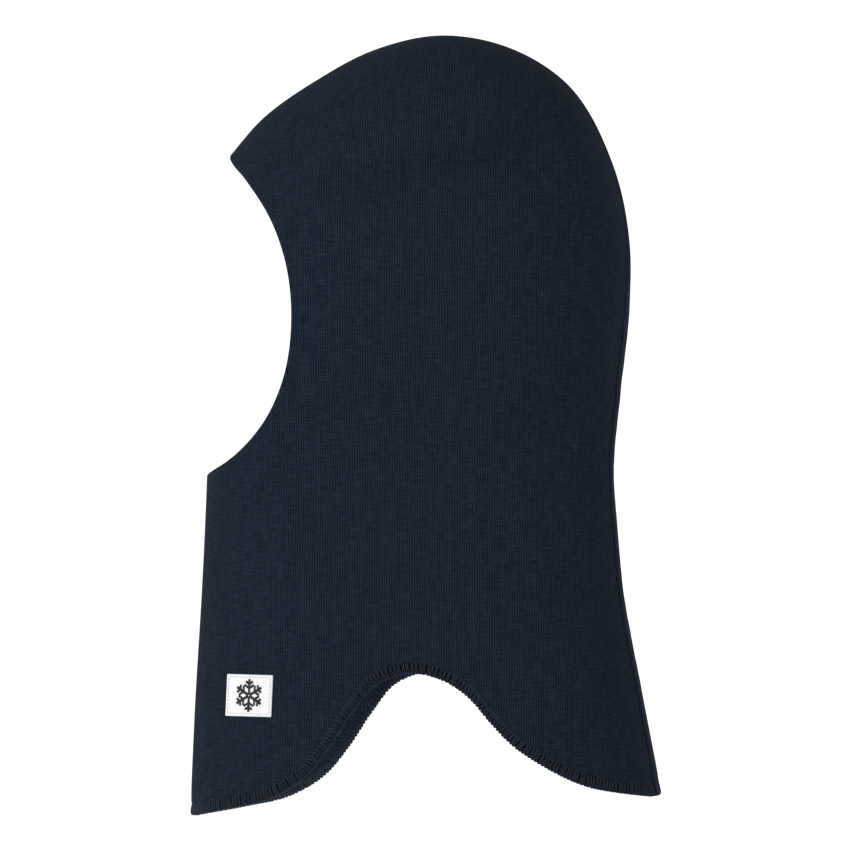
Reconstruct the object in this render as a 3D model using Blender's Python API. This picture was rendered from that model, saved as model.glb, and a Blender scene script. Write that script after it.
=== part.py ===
# A child's knitted balaclava, as worn: two side panels and a lining of two more, sewn together.
import math

import bmesh
import bpy
import numpy as np
from mathutils import Vector

# Metres. +Z is up, the wearer faces -Y and +X is the wearer's left.
# The origin is the middle of the head, level with the ears.
HEAD_HALF_WIDTH = 0.072
NECK_HALF_WIDTH = 0.056
HEM_HALF_WIDTH = 0.066
NECK_LEVEL = -0.085
HEM_LEVEL = -0.240
SECTION_POWER = 2.5

# Outlines in the side view, as (y, z).
BACK_SEAM = [(0.1118, -0.2312), (0.1015, -0.1780), (0.0941, -0.1380), (0.0912, -0.1080),
             (0.0895, -0.0820), (0.0925, -0.0450), (0.0966, -0.0050), (0.0966, 0.0250),
             (0.0885, 0.0620), (0.0660, 0.0995), (0.0400, 0.1150), (0.0110, 0.1203),
             (-0.0200, 0.1140), (-0.0480, 0.0995), (-0.0735, 0.0812), (-0.0885, 0.0640)]
CHIN_SEAM = [(-0.1064, -0.2406), (-0.1040, -0.1870), (-0.1010, -0.1370), (-0.0990, -0.0950),
             (-0.0985, -0.0820)]
HEM = [(-0.1064, -0.2406), (-0.0860, -0.2370), (-0.0650, -0.2320), (-0.0490, -0.2223),
       (-0.0380, -0.2093), (-0.0270, -0.1930), (-0.0160, -0.1800), (0.0, -0.1746),
       (0.0160, -0.1782), (0.0270, -0.1853), (0.0380, -0.1970), (0.0485, -0.2070),
       (0.0650, -0.2172), (0.0857, -0.2262), (0.1118, -0.2312)]
FACE_RIM = [(-0.0985, -0.0820), (-0.0874, -0.0760), (-0.0766, -0.0670), (-0.0691, -0.0580),
            (-0.0598, -0.0390), (-0.0552, -0.0080), (-0.0582, 0.0160), (-0.0654, 0.0350),
            (-0.0780, 0.0530), (-0.0885, 0.0640)]
# The head's own outline across the face opening, which the panels' curve heads for.
FACE_PROFILE = [(-0.0985, -0.0820), (-0.0995, -0.0450), (-0.1010, 0.0), (-0.0980, 0.0350),
                (-0.0885, 0.0640)]

# The back seam runs straight over the crown and drifts a little to the wearer's left below it.
BACK_SEAM_TURN = math.radians(9)
SEAM_DRIFT_FROM = 0.090
SEAM_DRIFT_TO = -0.030

OUTER_THICKNESS = 0.0011
LINING_THICKNESS = 0.0010
LAYER_GAP = 0.0016
HEM_LAYER_GAP = 0.0005
HEM_GAP_FADE = 0.020
SEAM_GAP = 0.0007
CLEARANCE = 0.0004

PANEL_COLUMNS = 22
PANEL_ROWS = 26
SEAM_THREAD_MARGIN = 0.004

# The face edge: the outer knit turns in on a small roll, and the lining starts behind it.
ROLL_RADIUS = 0.0016
ROLL_STEPS = 4
ROLL_ANGLE = math.radians(172)
TURNED_IN = 0.0035
FACE_SEAM_INSET = 0.0068
LINING_INSET = 0.0082

# The hem is bound by an overlock stitch.
HEM_INSET = 0.0018
OVERLOCK_WIDTH = 0.0050
LOOPER_THICKNESS = 0.0005
THREAD_RADIUS = 0.00035
HEM_BEND_STEPS = 6

PATCH_CENTRE = (-0.0750, -0.1846)
PATCH_WIDTH = 0.0250
PATCH_HEIGHT = 0.0194
PATCH_TILT = math.radians(-2.5)
PATCH_THICKNESS = 0.0008
PATCH_SEGMENTS = 6
PATCH_STITCH_INSET = 0.0012

LABEL_TOP = -0.030
LABEL_WIDTH = 0.020
LABEL_LENGTH = 0.034
LABEL_THICKNESS = 0.0004
LABEL_COLUMNS = 4
LABEL_ROWS = 6

NAVY = (0.012, 0.018, 0.030)
DARK_NAVY = (0.009, 0.013, 0.022)
WHITE = (0.80, 0.80, 0.80)
GREY = (0.45, 0.46, 0.48)

PATH_SAMPLES = 3000


def smooth_path(knots, samples=PATH_SAMPLES):
    """Points spaced evenly along a curve that passes smoothly through the knots."""
    knots = np.array(knots)
    stops = np.concatenate(([0.0], np.cumsum(np.linalg.norm(np.diff(knots, axis=0), axis=1))))
    slopes = np.gradient(knots, stops, axis=0)
    along = np.linspace(0.0, stops[-1], samples)
    before = np.clip(np.searchsorted(stops, along, side="right") - 1, 0, len(knots) - 2)
    span = (stops[before + 1] - stops[before])[:, None]
    t = (along - stops[before])[:, None] / span
    curve = (knots[before] * (1 + 2 * t) * (1 - t) ** 2 + knots[before + 1] * t * t * (3 - 2 * t)
             + slopes[before] * span * t * (1 - t) ** 2 - slopes[before + 1] * span * t * t * (1 - t))
    lengths = np.concatenate(([0.0], np.cumsum(np.linalg.norm(np.diff(curve, axis=0), axis=1))))
    even = np.linspace(0.0, lengths[-1], samples)
    return np.stack([np.interp(even, lengths, curve[:, i]) for i in (0, 1)], axis=1)


back_path = smooth_path(BACK_SEAM)
chin_path = smooth_path(CHIN_SEAM)
hem_path = smooth_path(HEM)
rim_path = smooth_path(FACE_RIM)
front_path = np.concatenate([chin_path, smooth_path(FACE_PROFILE)[1:]])
back_rise = back_path[:len(back_path) // 2]  # the back's outline below the crown
crown = np.concatenate([back_path[back_path[:, 1] >= 0], front_path[front_path[:, 1] >= 0][::-1]])
crown_angles = np.unwrap(np.arctan2(crown[:, 1], crown[:, 0]))
crown_radii = np.hypot(crown[:, 0], crown[:, 1])


def path_at(path, share):
    place = share * (len(path) - 1)
    return np.array([np.interp(place, np.arange(len(path)), path[:, i]) for i in (0, 1)])


def smoothstep(t):
    t = min(max(t, 0.0), 1.0)
    return t * t * (3 - 2 * t)


def half_width(z):
    if z >= 0:
        return HEAD_HALF_WIDTH
    if z >= NECK_LEVEL:
        return HEAD_HALF_WIDTH + (NECK_HALF_WIDTH - HEAD_HALF_WIDTH) * smoothstep(z / NECK_LEVEL)
    below = (z - NECK_LEVEL) / (HEM_LEVEL - NECK_LEVEL)
    return NECK_HALF_WIDTH + (HEM_HALF_WIDTH - NECK_HALF_WIDTH) * smoothstep(below)


def seam_turn(z):
    """How far round the section the back seam sits at this height, as an angle."""
    return BACK_SEAM_TURN * smoothstep((SEAM_DRIFT_FROM - z) / (SEAM_DRIFT_FROM - SEAM_DRIFT_TO))


def outline_share(y, z):
    """How far a point of the side view is from the middle towards the outline, which is at 1."""
    if z >= 0:
        return math.hypot(y, z) / np.interp(math.atan2(z, y), crown_angles, crown_radii)
    path = back_rise if y > 0 else front_path
    return abs(y / np.interp(z, path[:, 1], path[:, 0]))


def side_point(y, z, side):
    """The garment's outer surface, over a point of the side view."""
    share = min(outline_share(y, z), 1.0)
    angle = side * math.acos(share ** (SECTION_POWER / 2))
    if y > 0 and share > 0:
        angle += seam_turn(z) * math.cos(angle) ** 2
        turned = math.cos(angle) ** (2 / SECTION_POWER) / share
        y *= turned
        z *= turned if z > 0 else 1.0
    offset = half_width(z) * abs(math.sin(angle)) ** (2 / SECTION_POWER)
    return Vector((math.copysign(offset, angle) + side * SEAM_GAP / 2, y, z))


def side_view(across, up):
    """A panel in the side view: across from the chin seam to the back seam, up from the hem."""
    across = (1 - math.cos(math.pi * across)) / 2
    sides = ((1 - up) * path_at(hem_path, across) + up * path_at(rim_path, across)
             + (1 - across) * path_at(chin_path, up) + across * path_at(back_path, up))
    corners = ((1 - up) * ((1 - across) * hem_path[0] + across * hem_path[-1])
               + up * ((1 - across) * rim_path[0] + across * rim_path[-1]))
    return sides - corners


def panel_point(side, across, up):
    return side_point(*side_view(across, up), side)


def panel_slopes(side, across, up, step=1e-3):
    low, high = max(across - step, 0), min(across + step, 1)
    right = (panel_point(side, high, up) - panel_point(side, low, up)) / (high - low)
    low, high = max(up - step, 0), min(up + step, 1)
    rise = (panel_point(side, across, high) - panel_point(side, across, low)) / (high - low)
    normal = (right.cross(rise) * side).normalized()
    return right, rise, normal


def inside_panel(side, across, up, depth):
    """A point this deep under the outer surface."""
    return panel_point(side, across, up) - depth * panel_slopes(side, across, up)[2]


def edge_direction(side, across, edge):
    """At the hem (edge 0) or the face edge (1): the way off the panel, and the panel's reach that way."""
    right, rise, normal = panel_slopes(side, across, edge)
    away = normal.cross(right).normalized()
    reach = rise.dot(away)
    if (reach > 0) != (edge == 1):
        away = -away
    return away, abs(reach)


def up_at(side, across, edge, inset):
    """The panel's own height coordinate this far in from an edge."""
    share = inset / edge_direction(side, across, edge)[1]
    return 1 - share if edge == 1 else share


def edge_point(side, across, edge, inset, depth):
    """A point in from the hem or the face edge, or past it where the inset is negative."""
    if inset >= 0:
        return inside_panel(side, across, up_at(side, across, edge, inset), depth)
    away = edge_direction(side, across, edge)[0]
    return inside_panel(side, across, edge, depth) - inset * away


def add_material(obj, colour, roughness):
    material = bpy.data.materials.new(obj.name)
    material.use_nodes = True
    shader = material.node_tree.nodes["Principled BSDF"]
    shader.inputs["Base Color"].default_value = (*colour, 1)
    shader.inputs["Roughness"].default_value = roughness
    shader.inputs["Metallic"].default_value = 0
    obj.data.materials.append(material)


def add_sheet(name, columns, rows, place, thickness, colour, roughness=0.9, flip=False, closed=False):
    """A sheet of even thickness: place(column, row) gives its outer side's points."""
    bm = bmesh.new()
    bmesh.ops.create_grid(bm, x_segments=columns, y_segments=rows, size=0.5)
    for vert in bm.verts:
        vert.co = place(round((vert.co.x + 0.5) * columns), round((vert.co.y + 0.5) * rows))
    if closed:
        bmesh.ops.remove_doubles(bm, verts=bm.verts, dist=1e-6)
    if flip:
        bmesh.ops.reverse_faces(bm, faces=bm.faces)
    mesh = bpy.data.meshes.new(name)
    bm.to_mesh(mesh)
    bm.free()
    mesh.shade_smooth()
    obj = bpy.data.objects.new(name, mesh)
    bpy.context.scene.collection.objects.link(obj)
    wall = obj.modifiers.new("Wall", "SOLIDIFY")
    wall.thickness = thickness
    wall.offset = -1
    add_material(obj, colour, roughness)
    return obj


def add_thread(name, points, closed, colour=DARK_NAVY, radius=THREAD_RADIUS):
    curve = bpy.data.curves.new(name, "CURVE")
    curve.dimensions = "3D"
    curve.bevel_depth = radius
    curve.bevel_resolution = 1
    curve.use_fill_caps = not closed
    spline = curve.splines.new("POLY")
    spline.points.add(len(points) - 1)
    for point, place in zip(spline.points, points):
        point.co = (*place, 1)
    spline.use_cyclic_u = closed
    spline.use_smooth = True
    obj = bpy.data.objects.new(name, curve)
    bpy.context.scene.collection.objects.link(obj)
    add_material(obj, colour, 0.8)
    return obj


def outer_panel(name, side):
    """The face edge rolls over and is turned in, and the other edges are cut."""
    def place(column, row):
        across = column / PANEL_COLUMNS
        low = up_at(side, across, 0, HEM_INSET)
        high = up_at(side, across, 1, ROLL_RADIUS)
        if row <= PANEL_ROWS:
            return panel_point(side, across, low + (high - low) * row / PANEL_ROWS)
        away = edge_direction(side, across, 1)[0]
        normal = panel_slopes(side, across, high)[2]
        turn = ROLL_ANGLE * min(row - PANEL_ROWS, ROLL_STEPS) / ROLL_STEPS
        start = panel_point(side, across, high) - ROLL_RADIUS * normal
        point = start + ROLL_RADIUS * (math.cos(turn) * normal + math.sin(turn) * away)
        if row > PANEL_ROWS + ROLL_STEPS:
            point -= TURNED_IN * away
        return point

    return add_sheet(name, PANEL_COLUMNS, PANEL_ROWS + ROLL_STEPS + 1, place, OUTER_THICKNESS, NAVY,
                     flip=side < 0)


def lining_depth(inset):
    gap = HEM_LAYER_GAP + (LAYER_GAP - HEM_LAYER_GAP) * smoothstep(inset / HEM_GAP_FADE)
    return OUTER_THICKNESS + gap


def lining_panel(name, side):
    def place(column, row):
        across = column / PANEL_COLUMNS
        reach = edge_direction(side, across, 0)[1]
        low = up_at(side, across, 0, HEM_INSET)
        high = up_at(side, across, 1, LINING_INSET)
        up = low + (high - low) * row / PANEL_ROWS
        return inside_panel(side, across, up, lining_depth((up - low) * reach))

    return add_sheet(name, PANEL_COLUMNS, PANEL_ROWS, place, LINING_THICKNESS, DARK_NAVY, flip=side < 0)


def around(column):
    """The side and the place across it of a column that goes round both panels."""
    column %= 2 * PANEL_COLUMNS + 2
    if column <= PANEL_COLUMNS:
        return 1, column / PANEL_COLUMNS
    return -1, (2 * PANEL_COLUMNS + 1 - column) / PANEL_COLUMNS


def ring_points(edge, inset, depth):
    return [edge_point(*around(column), edge, inset, depth) for column in range(2 * PANEL_COLUMNS + 2)]


def hem_looper_thread():
    """The overlock's two looper threads lie over both faces of the hem and wrap its cut edge."""
    inner_face = OUTER_THICKNESS + HEM_LAYER_GAP + LINING_THICKNESS
    middle = inner_face / 2
    radius = middle + CLEARANCE
    bend = HEM_INSET + 0.5 * radius
    profile = [(OVERLOCK_WIDTH, -CLEARANCE)]
    for step in range(HEM_BEND_STEPS + 1):
        turn = math.pi * step / HEM_BEND_STEPS
        profile.append((bend - radius * math.sin(turn), middle - radius * math.cos(turn)))
    profile.append((OVERLOCK_WIDTH, inner_face + CLEARANCE))

    def place(column, row):
        side, across = around(column)
        inset, depth = profile[row]
        return edge_point(side, across, 0, inset, depth)

    ring = add_sheet("hem_looper_thread", 2 * PANEL_COLUMNS + 2, len(profile) - 1, place,
                     LOOPER_THICKNESS, NAVY, 0.7, flip=True, closed=True)
    ring.modifiers["Wall"].offset = 1
    return ring


def seam_thread(name, across, depth, end_up):
    """A sewing thread along a seam, between the two panels."""
    points = []
    for row in range(PANEL_ROWS + 1):
        places = []
        for side in (1, -1):
            low = up_at(side, across, 0, OVERLOCK_WIDTH + SEAM_THREAD_MARGIN)
            high = up_at(side, across, 1, end_up)
            up = low + (high - low) * row / PANEL_ROWS
            places.append(inside_panel(side, across, up, depth))
        points.append((places[0] + places[1]) / 2)
    return add_thread(name, points, closed=False)


def patch_point(right, up, depth):
    """A point of the patch: right and up from its middle along the panel, this deep under its surface."""
    y, z = PATCH_CENTRE
    step = 1e-4
    middle = side_point(y, z, 1)
    level = (side_point(y + step, z, 1) - side_point(y - step, z, 1)).normalized()
    right, up = (right * math.cos(PATCH_TILT) - up * math.sin(PATCH_TILT),
                 right * math.sin(PATCH_TILT) + up * math.cos(PATCH_TILT))
    y += right * level.y
    z += up
    place = side_point(y, z, 1)
    slope_y = side_point(y + step, z, 1) - side_point(y - step, z, 1)
    slope_z = side_point(y, z + step, 1) - side_point(y, z - step, 1)
    return place - depth * slope_y.cross(slope_z).normalized()


def brand_patch():
    def place(column, row):
        return patch_point((column / PATCH_SEGMENTS - 0.5) * PATCH_WIDTH,
                           (row / PATCH_SEGMENTS - 0.5) * PATCH_HEIGHT, -CLEARANCE - PATCH_THICKNESS)

    return add_sheet("brand_patch", PATCH_SEGMENTS, PATCH_SEGMENTS, place, PATCH_THICKNESS, WHITE, 0.6)


def patch_stitching():
    """One round of stitches just inside the patch's edge."""
    half_width_in = PATCH_WIDTH / 2 - PATCH_STITCH_INSET
    half_height_in = PATCH_HEIGHT / 2 - PATCH_STITCH_INSET
    depth = -2 * CLEARANCE - PATCH_THICKNESS - THREAD_RADIUS
    corners = [(-1, -1), (1, -1), (1, 1), (-1, 1)]
    points = []
    for start, end in zip(corners, corners[1:] + corners[:1]):
        for step in range(PATCH_SEGMENTS):
            share = step / PATCH_SEGMENTS
            right = (start[0] + (end[0] - start[0]) * share) * half_width_in
            up = (start[1] + (end[1] - start[1]) * share) * half_height_in
            points.append(patch_point(right, up, depth))
    return add_thread("patch_stitching", points, closed=True, colour=GREY)


def care_label():
    """A small woven label that hangs inside, from the lining's back seam."""
    depth = lining_depth(HEM_GAP_FADE) + LINING_THICKNESS + 2 * THREAD_RADIUS + 3 * CLEARANCE
    seam_x = half_width(LABEL_TOP) * math.sin(seam_turn(LABEL_TOP)) ** (2 / SECTION_POWER)

    def place(column, row):
        z = LABEL_TOP - LABEL_LENGTH * (1 - row / LABEL_ROWS)
        x = seam_x + (column / LABEL_COLUMNS - 0.5) * LABEL_WIDTH
        back = np.interp(z, back_rise[:, 1], back_rise[:, 0])
        y = back * (1 - abs(x / half_width(z)) ** SECTION_POWER) ** (1 / SECTION_POWER)
        return Vector((x, y - depth, z))

    return add_sheet("care_label", LABEL_COLUMNS, LABEL_ROWS, place, LABEL_THICKNESS, WHITE, 0.6, flip=True)


def main():
    for obj in list(bpy.data.objects):
        bpy.data.objects.remove(obj)
    for name, side in (("left", 1), ("right", -1)):
        outer_panel(f"outer_{name}_panel", side)
        lining_panel(f"lining_{name}_panel", side)
    outer_thread = OUTER_THICKNESS + LAYER_GAP / 2
    lining_thread = lining_depth(HEM_GAP_FADE) + LINING_THICKNESS + CLEARANCE + THREAD_RADIUS
    seam_thread("outer_back_seam_thread", 1, outer_thread, FACE_SEAM_INSET + SEAM_THREAD_MARGIN)
    seam_thread("outer_chin_seam_thread", 0, outer_thread, FACE_SEAM_INSET + SEAM_THREAD_MARGIN)
    seam_thread("lining_back_seam_thread", 1, lining_thread, LINING_INSET)
    seam_thread("lining_chin_seam_thread", 0, lining_thread, LINING_INSET)
    face_depth = 2 * ROLL_RADIUS - OUTER_THICKNESS / 2
    add_thread("face_seam_thread", ring_points(1, FACE_SEAM_INSET, face_depth), closed=True)
    hem_looper_thread()
    needle_inset = OVERLOCK_WIDTH + CLEARANCE + THREAD_RADIUS
    needle_depth = -CLEARANCE - THREAD_RADIUS
    add_thread("hem_needle_thread", ring_points(0, needle_inset, needle_depth), closed=True)
    brand_patch()
    patch_stitching()
    care_label()


main()
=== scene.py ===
# Child's knitted balaclava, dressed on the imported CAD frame.
import math

import bmesh
import bpy
import numpy as np
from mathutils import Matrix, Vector


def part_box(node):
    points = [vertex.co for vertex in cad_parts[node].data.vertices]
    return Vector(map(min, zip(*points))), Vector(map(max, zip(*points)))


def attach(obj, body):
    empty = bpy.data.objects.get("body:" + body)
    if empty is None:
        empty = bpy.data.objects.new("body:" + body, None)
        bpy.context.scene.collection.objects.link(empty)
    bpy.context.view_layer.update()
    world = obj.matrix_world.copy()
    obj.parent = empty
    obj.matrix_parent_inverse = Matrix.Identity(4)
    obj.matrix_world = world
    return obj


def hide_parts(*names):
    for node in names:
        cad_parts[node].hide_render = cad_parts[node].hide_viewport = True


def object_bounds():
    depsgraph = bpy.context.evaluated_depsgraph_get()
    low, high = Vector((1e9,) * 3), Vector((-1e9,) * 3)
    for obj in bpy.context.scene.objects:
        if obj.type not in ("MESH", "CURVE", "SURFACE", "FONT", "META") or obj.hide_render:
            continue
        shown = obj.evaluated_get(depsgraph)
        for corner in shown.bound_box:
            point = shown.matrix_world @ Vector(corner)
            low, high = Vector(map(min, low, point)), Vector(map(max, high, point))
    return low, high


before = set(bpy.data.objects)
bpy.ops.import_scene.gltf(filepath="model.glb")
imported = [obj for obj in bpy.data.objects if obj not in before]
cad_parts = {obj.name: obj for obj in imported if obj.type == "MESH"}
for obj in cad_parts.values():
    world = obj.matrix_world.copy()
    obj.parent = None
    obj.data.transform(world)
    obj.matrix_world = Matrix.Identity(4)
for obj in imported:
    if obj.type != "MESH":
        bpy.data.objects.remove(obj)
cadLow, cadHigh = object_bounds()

dice = np.random.default_rng(7)

# shape of the garment, shared by every piece; metres, +Z up, the wearer faces -Y
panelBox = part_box("outer_left_panel")
boxMargin = 0.00035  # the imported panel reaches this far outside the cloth's surface
garment = {
    "headHalfWidth": panelBox[1].x - boxMargin,
    "neckHalfWidth": 0.056,
    "hemHalfWidth": 0.066,
    "neckLevel": -0.085,
    "hemLevel": -0.240,
    "sectionPower": 2.5,  # 2 is an ellipse, more is boxier
    "sectionRatio": 0.62,  # a usual half width over half depth
    "seamTurn": math.radians(9),  # the back seam drifts to the wearer's left
    "driftFrom": 0.090,
    "driftTo": -0.030,
    # side view outlines, as (y, z)
    "backSeam": [(0.1118, -0.2312), (0.1015, -0.1780), (0.0941, -0.1380), (0.0912, -0.1080),
                 (0.0895, -0.0820), (0.0925, -0.0450), (0.0966, -0.0050), (0.0966, 0.0250),
                 (0.0885, 0.0620), (0.0660, 0.0995), (0.0400, 0.1150), (0.0110, 0.1203),
                 (-0.0200, 0.1140), (-0.0480, 0.0995), (-0.0735, 0.0812), (-0.0885, 0.0640)],
    "chinSeam": [(-0.1064, -0.2406), (-0.1040, -0.1870), (-0.1010, -0.1370), (-0.0990, -0.0950),
                 (-0.0985, -0.0820)],
    "hem": [(-0.1064, -0.2406), (-0.0860, -0.2370), (-0.0650, -0.2320), (-0.0490, -0.2223),
            (-0.0380, -0.2093), (-0.0270, -0.1930), (-0.0160, -0.1800), (0.0, -0.1746),
            (0.0160, -0.1782), (0.0270, -0.1853), (0.0380, -0.1970), (0.0485, -0.2070),
            (0.0650, -0.2172), (0.0857, -0.2262), (0.1118, -0.2312)],
    "faceRim": [(-0.0985, -0.0820), (-0.0874, -0.0760), (-0.0766, -0.0670), (-0.0691, -0.0580),
                (-0.0598, -0.0390), (-0.0552, -0.0080), (-0.0582, 0.0160), (-0.0654, 0.0350),
                (-0.0780, 0.0530), (-0.0885, 0.0640)],
    "faceProfile": [(-0.0985, -0.0820), (-0.0995, -0.0450), (-0.1010, 0.0), (-0.0980, 0.0350),
                    (-0.0885, 0.0640)],
}
layers = {
    "outer": 0.0011,
    "lining": 0.0010,
    "gap": 0.0016,
    "hemGap": 0.0002,
    "hemGapFade": 0.020,
}


def smoothStep(t):
    t = np.clip(t, 0, 1)
    return t * t * (3 - 2 * t)


def runLengths(points):
    # how far along the line each of its points lies
    return np.concatenate(([0.0], np.cumsum(np.linalg.norm(np.diff(points, axis=0), axis=1))))


def smoothPath(knots, samples=3000):
    # even points along a curve that passes smoothly through the knots
    knots = np.array(knots, float)
    stops = runLengths(knots)
    slopes = np.gradient(knots, stops, axis=0)
    along = np.linspace(0, stops[-1], samples)
    before = np.clip(np.searchsorted(stops, along, side="right") - 1, 0, len(knots) - 2)
    span = (stops[before + 1] - stops[before])[:, None]
    t = (along - stops[before])[:, None] / span
    curve = (knots[before] * (1 + 2 * t) * (1 - t) ** 2 + knots[before + 1] * t * t * (3 - 2 * t)
             + slopes[before] * span * t * (1 - t) ** 2 - slopes[before + 1] * span * t * t * (1 - t))
    return evenly(curve, samples)


def evenly(points, count):
    # the same line again, with its points spaced evenly
    lengths = runLengths(points)
    even = np.linspace(0, lengths[-1], count)
    return np.stack([np.interp(even, lengths, points[:, i]) for i in range(points.shape[1])], axis=1)


backPath, chinPath = smoothPath(garment["backSeam"]), smoothPath(garment["chinSeam"])
hemPath, rimPath = smoothPath(garment["hem"]), smoothPath(garment["faceRim"])
frontPath = np.concatenate([chinPath, smoothPath(garment["faceProfile"])[1:]])
backRise = backPath[:int(np.argmax(backPath[:, 1])) + 1]  # the back outline, up to the crown's top
crownPath = np.concatenate([backPath[backPath[:, 1] >= 0], frontPath[frontPath[:, 1] >= 0][::-1]])
crownAngles = np.unwrap(np.arctan2(crownPath[:, 1], crownPath[:, 0]))
crownRadii = np.hypot(crownPath[:, 0], crownPath[:, 1])


def pathAt(path, share):
    place = np.asarray(share) * (len(path) - 1)
    steps = np.arange(len(path))
    return np.interp(place, steps, path[:, 0]), np.interp(place, steps, path[:, 1])


def halfWidth(z):
    g = garment
    upper = g["headHalfWidth"] + (g["neckHalfWidth"] - g["headHalfWidth"]) * smoothStep(z / g["neckLevel"])
    below = (z - g["neckLevel"]) / (g["hemLevel"] - g["neckLevel"])
    lower = g["neckHalfWidth"] + (g["hemHalfWidth"] - g["neckHalfWidth"]) * smoothStep(below)
    return np.where(z >= g["neckLevel"], upper, lower)


def outlineShare(y, z):
    # 0 in the middle of the side view, 1 on its outline
    radial = np.hypot(y, z) / np.interp(np.arctan2(z, y), crownAngles, crownRadii)
    back = y / np.interp(z, backRise[:, 1], backRise[:, 0])
    front = y / np.interp(z, frontPath[:, 1], frontPath[:, 0])
    return np.clip(np.where(z >= 0, radial, np.where(y > 0, back, front)), 0, 1)


def sideOffset(y, z):
    power = garment["sectionPower"]
    return halfWidth(z) * (1 - outlineShare(y, z) ** power) ** (1 / power)


def seamDrift(z):
    # how far round the back seam has turned at this level
    g = garment
    return g["seamTurn"] * smoothStep((g["driftFrom"] - z) / (g["driftFrom"] - g["driftTo"]))


def garmentPoint(y, z, side, onSeam=False):
    # the outer surface over a point of the side view; the back seam's drift slides it round the section
    power = garment["sectionPower"]
    share = np.where(onSeam, 1.0, outlineShare(y, z))
    angle = side * np.arccos(share ** (power / 2))
    angle = angle + np.where(y > 0, seamDrift(z) * np.cos(angle) ** 2, 0)
    turned = np.where(y > 0, np.abs(np.cos(angle)) ** (2 / power) / np.maximum(share, 1e-9), 1)
    y = y * turned
    z = np.where(z > 0, z * turned, z)
    x = np.sign(angle) * halfWidth(z) * np.abs(np.sin(angle)) ** (2 / power)
    return np.stack([x, y, z], axis=-1)


# equal steps across a panel are equal lengths of cloth, not of the side view
sectionPower = garment["sectionPower"]
sectionY = -np.cos(np.linspace(0, math.pi, 4001))
sectionX = garment["sectionRatio"] * (1 - np.abs(sectionY) ** sectionPower) ** (1 / sectionPower)
sectionRun = np.concatenate(([0.0], np.cumsum(np.hypot(np.diff(sectionX), np.diff(sectionY)))))
sectionRun /= sectionRun[-1]


def sideView(across, up):
    across = (np.interp(across, sectionRun, sectionY) + 1) / 2
    hem, rim = pathAt(hemPath, across), pathAt(rimPath, across)
    chin, back = pathAt(chinPath, up), pathAt(backPath, up)
    found = []
    for i in (0, 1):
        sides = (1 - up) * hem[i] + up * rim[i] + (1 - across) * chin[i] + across * back[i]
        corners = ((1 - up) * ((1 - across) * hemPath[0, i] + across * hemPath[-1, i])
                   + up * ((1 - across) * rimPath[0, i] + across * rimPath[-1, i]))
        found.append(sides - corners)
    return found


def basePoint(side, across, up):
    across, up = np.broadcast_arrays(np.asarray(across, float), np.asarray(up, float))
    y, z = sideView(across, up)
    return garmentPoint(y, z, side, (across <= 0) | (across >= 1))


def unit(v):
    return v / np.maximum(np.linalg.norm(v, axis=-1, keepdims=True), 1e-12)


def distance(a, b):
    return np.linalg.norm(a - b, axis=-1)


def baseSlopes(side, across, up, step=1e-3):
    across, up = np.broadcast_arrays(np.asarray(across, float), np.asarray(up, float))
    low, high = np.maximum(across - step, 0), np.minimum(across + step, 1)
    right = (basePoint(side, high, up) - basePoint(side, low, up)) / (high - low)[..., None]
    low, high = np.maximum(up - step, 0), np.minimum(up + step, 1)
    rise = (basePoint(side, across, high) - basePoint(side, across, low)) / (high - low)[..., None]
    return right, rise, unit(np.cross(right, rise) * side)


def edgeDirection(side, across, edge):
    # at the hem (edge 0) or the face edge (1): the way off the panel, and how far the panel reaches that way
    right, rise, normal = baseSlopes(side, across, edge)
    away = unit(np.cross(normal, right))
    reach = np.sum(rise * away, axis=-1)
    flip = np.where((reach > 0) != (edge == 1), -1.0, 1.0)
    return away * flip[..., None], np.abs(reach)


def upAt(side, across, edge, inset):
    share = inset / edgeDirection(side, across, edge)[1]
    return 1 - share if edge == 1 else share


# relief of the outer cloth: dips at the seams and at the hem's needle line, and the slack in the knit
relief = {
    "seamDip": 0.0013,
    "seamReach": 0.0016,
    "seamPower": 1.3,  # under 2, so the dip is sharp at the seam
    "allowanceRise": 0.00035,  # the seam allowance lies under the cloth beside the seam
    "allowanceStart": 0.003,
    "allowanceWidth": 0.0055,
    "needleDip": 0.00045,
    "needleReach": 0.0009,
    "hemPinch": 0.0005,
    "hemPinchReach": 0.008,
}
hemStitch = {
    "inset": 0.0007,  # where the cut edges lie
    "width": 0.0052,  # from the edge to the needle line
    "pitch": 0.0018,
    "threadRadius": 0.00021,
    "lift": 0.75,  # radii that the looper threads stand off the cloth
    "tuck": 0.2,  # share of that height left where the needle thread holds them
    "bend": 0.35,  # how far round the edge they are at the bend
    "wobble": 0.10,  # in pitches
    "overshoot": 0.0002,
    "unevenness": 0.00045,
    "needleRadius": 0.00020,
    # the needle thread dips at its hole: place along the stitch in pitches, depth
    "needleProfile": ((0.0, 0.0006), (0.2, 0.0001), (0.35, -0.0001), (0.65, -0.0001), (0.8, 0.0001)),
}
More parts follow.
